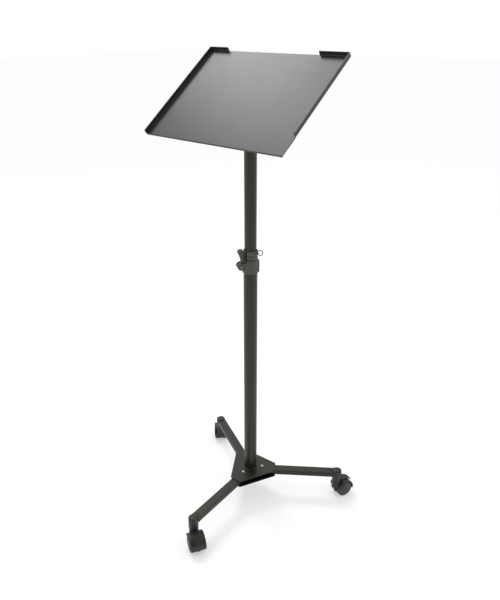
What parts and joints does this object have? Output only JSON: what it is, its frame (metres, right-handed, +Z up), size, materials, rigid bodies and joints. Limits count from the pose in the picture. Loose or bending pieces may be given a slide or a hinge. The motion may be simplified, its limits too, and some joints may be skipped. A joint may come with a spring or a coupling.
{
  "type": "presentation lectern",
  "caption": "Mobile lectern: tilting lipped sheet-steel tray on a clamped telescoping column, over a three-leg base with swivel casters.",
  "frame": {"origin": "point on the floor under the middle of the whole footprint", "axes": "+Z up along the column; the tray's width runs along X and its low edge faces -Y, where the speaker stands"},
  "size_m": [0.5078, 0.4922, 1.2066],
  "materials": {
    "black_coat": "fine-grained satin black powder coat",
    "tray_coat": "smooth satin black powder coat",
    "moulded_plastic": "lightly textured black nylon",
    "zinc": "bright zinc plate",
    "wheel_nylon": "smooth black nylon",
    "acetal": "natural white acetal"
  },
  "bodies": {
    "base": {"hub_top_plate": "black_coat", "hub_bottom_plate": "black_coat", "hub_spacer": "zinc", "hub_screw_1": "zinc", "hub_screw_2": "zinc", "hub_screw_3": "zinc", "leg_tube_1": "black_coat", "leg_socket_1": "moulded_plastic", "stem_bush_1": "acetal", "leg_tube_2": "black_coat", "leg_socket_2": "moulded_plastic", "stem_bush_2": "acetal", "leg_tube_3": "black_coat", "leg_socket_3": "moulded_plastic", "stem_bush_3": "acetal", "column_foot": "zinc", "column_bolt": "zinc", "column_washer": "zinc", "lower_tube": "black_coat", "glide_bush": "acetal", "clamp_collar": "moulded_plastic", "clamp_pad": "acetal", "lever_pin": "zinc"},
    "clamp_lever": {"clamp_lever": "moulded_plastic"},
    "lock_pin": {"lock_pin": "zinc", "lock_ring": "zinc"},
    "mast_slider": {"mast_bush": "acetal"},
    "mast": {"upper_tube": "black_coat", "head_fitting": "moulded_plastic"},
    "tray": {"tray_panel": "tray_coat", "tray_bracket": "black_coat", "tray_nut_1": "zinc", "tray_nut_2": "zinc", "tray_nut_3": "zinc", "tray_nut_4": "zinc", "tilt_bolt": "zinc", "friction_washer_1": "acetal", "friction_washer_2": "acetal"},
    "tilt_knob": {"tilt_knob": "moulded_plastic"},
    "caster_1": {"caster_hood_1": "moulded_plastic", "caster_stem_1": "zinc", "caster_axle_1": "zinc"},
    "wheel_left_1": {"caster_wheel_left_1": "wheel_nylon"},
    "wheel_right_1": {"caster_wheel_right_1": "wheel_nylon"},
    "pedal_1": {"caster_pedal_1": "moulded_plastic"},
    "caster_2": {"caster_hood_2": "moulded_plastic", "caster_stem_2": "zinc", "caster_axle_2": "zinc"},
    "wheel_left_2": {"caster_wheel_left_2": "wheel_nylon"},
    "wheel_right_2": {"caster_wheel_right_2": "wheel_nylon"},
    "pedal_2": {"caster_pedal_2": "moulded_plastic"},
    "caster_3": {"caster_hood_3": "moulded_plastic", "caster_stem_3": "zinc", "caster_axle_3": "zinc"},
    "wheel_left_3": {"caster_wheel_left_3": "wheel_nylon"},
    "wheel_right_3": {"caster_wheel_right_3": "wheel_nylon"},
    "pedal_3": {"caster_pedal_3": "moulded_plastic"}
  },
  "joints": [
    {"name": "clamp_lever_flip", "type": "hinge", "parent": "base", "child": "clamp_lever", "pos_m": [0.00254, 0.02499, 0.7164], "axis": [0.8192, -0.5736, 0], "range_deg": [0, 110]},
    {"name": "lock_pin_pull", "type": "slide", "parent": "base", "child": "lock_pin", "axis": [0.9744, 0.225, 0], "range_m": [0, 0.012]},
    {"name": "mast_slide", "type": "slide", "parent": "base", "child": "mast_slider", "axis": [0, 0, 1], "range_m": [-0.27, 0.18]},
    {"name": "mast_turn", "type": "hinge", "parent": "mast_slider", "child": "mast", "pos_m": [0.01717, 0.04588, 0.4353], "axis": [0, 0, 1], "continuous": true},
    {"name": "tray_tilt", "type": "hinge", "parent": "mast", "child": "tray", "pos_m": [0.01717, 0.04588, 1.0783], "axis": [1, 0, 0], "range_deg": [-37, 23]},
    {"name": "tilt_knob_turn", "type": "hinge", "parent": "tray", "child": "tilt_knob", "pos_m": [0.01717, 0.04588, 1.0783], "axis": [1, 0, 0], "range_deg": [0, 540]},
    {"name": "caster_1_swivel", "type": "hinge", "parent": "base", "child": "caster_1", "pos_m": [0.21891, 0.19353, 0.0554], "axis": [0, 0, 1], "continuous": true},
    {"name": "wheel_left_1_spin", "type": "hinge", "parent": "caster_1", "child": "wheel_left_1", "pos_m": [0.22529, 0.21353, 0.024], "axis": [-0.9527, 0.304, 0], "continuous": true},
    {"name": "wheel_right_1_spin", "type": "hinge", "parent": "caster_1", "child": "wheel_right_1", "pos_m": [0.22529, 0.21353, 0.024], "axis": [-0.9527, 0.304, 0], "continuous": true},
    {"name": "pedal_1_press", "type": "hinge", "parent": "caster_1", "child": "pedal_1", "pos_m": [0.22347, 0.20782, 0.05309], "axis": [-0.9527, 0.304, 0], "range_deg": [0, 4.5]},
    {"name": "caster_2_swivel", "type": "hinge", "parent": "base", "child": "caster_2", "pos_m": [0.03286, -0.20363, 0.0554], "axis": [0, 0, 1], "continuous": true},
    {"name": "wheel_left_2_spin", "type": "hinge", "parent": "caster_2", "child": "wheel_left_2", "pos_m": [0.0511, -0.21404, 0.024], "axis": [0.4955, 0.8686, 0], "continuous": true},
    {"name": "wheel_right_2_spin", "type": "hinge", "parent": "caster_2", "child": "wheel_right_2", "pos_m": [0.0511, -0.21404, 0.024], "axis": [0.4955, 0.8686, 0], "continuous": true},
    {"name": "pedal_2_press", "type": "hinge", "parent": "caster_2", "child": "pedal_2", "pos_m": [0.04589, -0.21106, 0.05309], "axis": [0.4955, 0.8686, 0], "range_deg": [0, 4.5]},
    {"name": "caster_3_swivel", "type": "hinge", "parent": "base", "child": "caster_3", "pos_m": [-0.20558, 0.15937, 0.0554], "axis": [0, 0, 1], "continuous": true},
    {"name": "wheel_left_3_spin", "type": "hinge", "parent": "caster_3", "child": "wheel_left_3", "pos_m": [-0.21972, 0.17491, 0.024], "axis": [-0.7396, -0.673, 0], "continuous": true},
    {"name": "wheel_right_3_spin", "type": "hinge", "parent": "caster_3", "child": "wheel_right_3", "pos_m": [-0.21972, 0.17491, 0.024], "axis": [-0.7396, -0.673, 0], "continuous": true},
    {"name": "pedal_3_press", "type": "hinge", "parent": "caster_3", "child": "pedal_3", "pos_m": [-0.21568, 0.17047, 0.05309], "axis": [-0.7396, -0.673, 0], "range_deg": [0, 4.5]}
  ]
}
